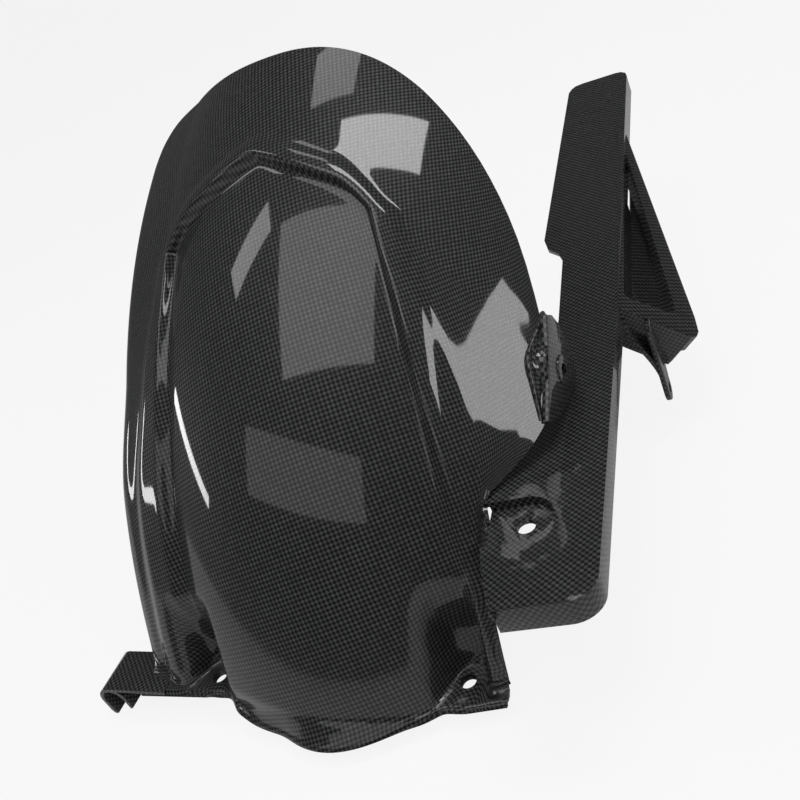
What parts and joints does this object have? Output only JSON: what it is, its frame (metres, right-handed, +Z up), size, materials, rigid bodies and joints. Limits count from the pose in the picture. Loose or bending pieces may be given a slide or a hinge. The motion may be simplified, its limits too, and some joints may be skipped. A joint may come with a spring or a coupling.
{
  "type": "rear hugger mudguard",
  "caption": "Arched laminate mudguard for a rear wheel, with a sunk panel in a raised rib, a front lip with bolt holes, a side chain guard, an open fin and a hose hook.",
  "frame": {"origin": "centre of the left front bolt hole, on the top face of its seat", "axes": "+X to the vehicle's left, +Y to the rear, +Z up along the front bolts"},
  "size_m": [0.3237, 0.5099, 0.2728],
  "materials": {
    "carbon_laminate": "clear-coated plain weave carbon laminate"
  },
  "bodies": {
    "root": {"hugger_shell": "carbon_laminate"}
  },
  "joints": []
}
